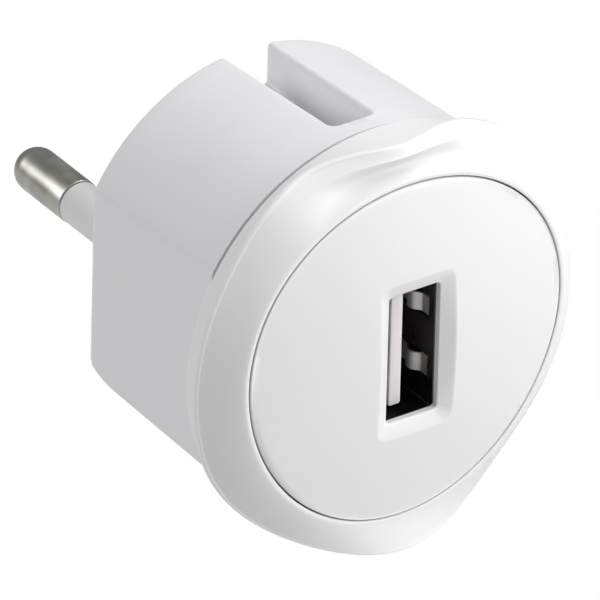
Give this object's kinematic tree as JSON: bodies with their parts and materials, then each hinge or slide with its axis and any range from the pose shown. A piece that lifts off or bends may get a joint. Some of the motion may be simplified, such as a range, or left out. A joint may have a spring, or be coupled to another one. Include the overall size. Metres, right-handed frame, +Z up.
{
  "type": "usb wall charger",
  "caption": "Round plug-in mains charger with two sleeved round pins, a grooved body and a lobed, domed front holding an upright USB-A socket.",
  "frame": {"origin": "middle of the flat rear face, halfway between the two pins", "axes": "+Y out of the rear face along the pins, into the wall; +Z up along the upright USB socket; +X to the right as seen from the front"},
  "size_m": [0.0382, 0.0449, 0.0379],
  "materials": {
    "white_body": "satin moulded white polycarbonate with a fine even grain",
    "white_front": "semi-gloss moulded white polycarbonate",
    "nickel_pin": "nickel-plated brass, polished",
    "pin_sleeve": "light grey-white insulating sleeve",
    "contact_brass": "rolled brass strip",
    "tinned_steel": "tinned sheet steel",
    "usb_tongue": "light moulded insulator",
    "gold_contact": "gold-flashed spring contact",
    "board_green": "green solder-resist board",
    "ferrite": "sintered dark grey ferrite",
    "bobbin_black": "black moulded bobbin",
    "copper_wire": "enamelled copper wire, tightly wound",
    "capacitor_sleeve": "shrunk dark plastic sleeve",
    "chip_resin": "moulded black epoxy",
    "resistor_green": "lacquered green body",
    "safety_blue": "dipped blue ceramic capacitor"
  },
  "bodies": {
    "body": {"rear_housing": "white_body", "front_flange": "white_front", "front_disc": "white_front", "pin_left": "nickel_pin", "pin_right": "nickel_pin", "pin_sleeve_left": "pin_sleeve", "pin_sleeve_right": "pin_sleeve", "pin_strip_left": "contact_brass", "pin_strip_right": "contact_brass", "usb_shell": "tinned_steel", "usb_tongue": "usb_tongue", "usb_terminal_1": "gold_contact", "usb_terminal_2": "gold_contact", "usb_terminal_3": "gold_contact", "usb_terminal_4": "gold_contact", "circuit_board": "board_green", "transformer_core_front": "ferrite", "transformer_core_rear": "ferrite", "transformer_bobbin": "bobbin_black", "transformer_winding": "copper_wire", "input_capacitor_upper": "capacitor_sleeve", "input_capacitor_lower": "capacitor_sleeve", "output_capacitor_left": "capacitor_sleeve", "output_capacitor_right": "capacitor_sleeve", "optocoupler": "chip_resin", "output_diode": "chip_resin", "bridge_rectifier": "chip_resin", "controller_chip": "chip_resin", "fuse_resistor": "resistor_green", "input_choke": "resistor_green", "safety_capacitor": "safety_blue"},
    "spring_upper_right": {"usb_spring_upper_right": "tinned_steel"},
    "spring_lower_right": {"usb_spring_lower_right": "tinned_steel"},
    "spring_upper_left": {"usb_spring_upper_left": "tinned_steel"},
    "spring_lower_left": {"usb_spring_lower_left": "tinned_steel"},
    "contact_1": {"usb_contact_1": "gold_contact"},
    "contact_2": {"usb_contact_2": "gold_contact"},
    "contact_3": {"usb_contact_3": "gold_contact"},
    "contact_4": {"usb_contact_4": "gold_contact"}
  },
  "joints": [
    {"name": "spring_upper_right_flex", "type": "hinge", "parent": "body", "child": "spring_upper_right", "pos_m": [0.00271, -0.0234, 0.0029], "axis": [0, 0, -1], "range_deg": [0, 6], "stiffness_Nm_per_rad": 0.02},
    {"name": "spring_lower_right_flex", "type": "hinge", "parent": "body", "child": "spring_lower_right", "pos_m": [0.00271, -0.0234, -0.0029], "axis": [0, 0, -1], "range_deg": [0, 6], "stiffness_Nm_per_rad": 0.02},
    {"name": "spring_upper_left_flex", "type": "hinge", "parent": "body", "child": "spring_upper_left", "pos_m": [-0.00271, -0.0234, 0.0029], "axis": [0, 0, 1], "range_deg": [0, 6], "stiffness_Nm_per_rad": 0.02},
    {"name": "spring_lower_left_flex", "type": "hinge", "parent": "body", "child": "spring_lower_left", "pos_m": [-0.00271, -0.0234, -0.0029], "axis": [0, 0, 1], "range_deg": [0, 6], "stiffness_Nm_per_rad": 0.02},
    {"name": "contact_1_flex", "type": "hinge", "parent": "body", "child": "contact_1", "pos_m": [-0.00042, -0.0133, -0.0035], "axis": [0, 0, -1], "range_deg": [0, 2], "stiffness_Nm_per_rad": 0.05},
    {"name": "contact_2_flex", "type": "hinge", "parent": "body", "child": "contact_2", "pos_m": [-0.00042, -0.0133, -0.001], "axis": [0, 0, -1], "range_deg": [0, 2], "stiffness_Nm_per_rad": 0.05},
    {"name": "contact_3_flex", "type": "hinge", "parent": "body", "child": "contact_3", "pos_m": [-0.00042, -0.0133, 0.001], "axis": [0, 0, -1], "range_deg": [0, 2], "stiffness_Nm_per_rad": 0.05},
    {"name": "contact_4_flex", "type": "hinge", "parent": "body", "child": "contact_4", "pos_m": [-0.00042, -0.0133, 0.0035], "axis": [0, 0, -1], "range_deg": [0, 2], "stiffness_Nm_per_rad": 0.05}
  ]
}
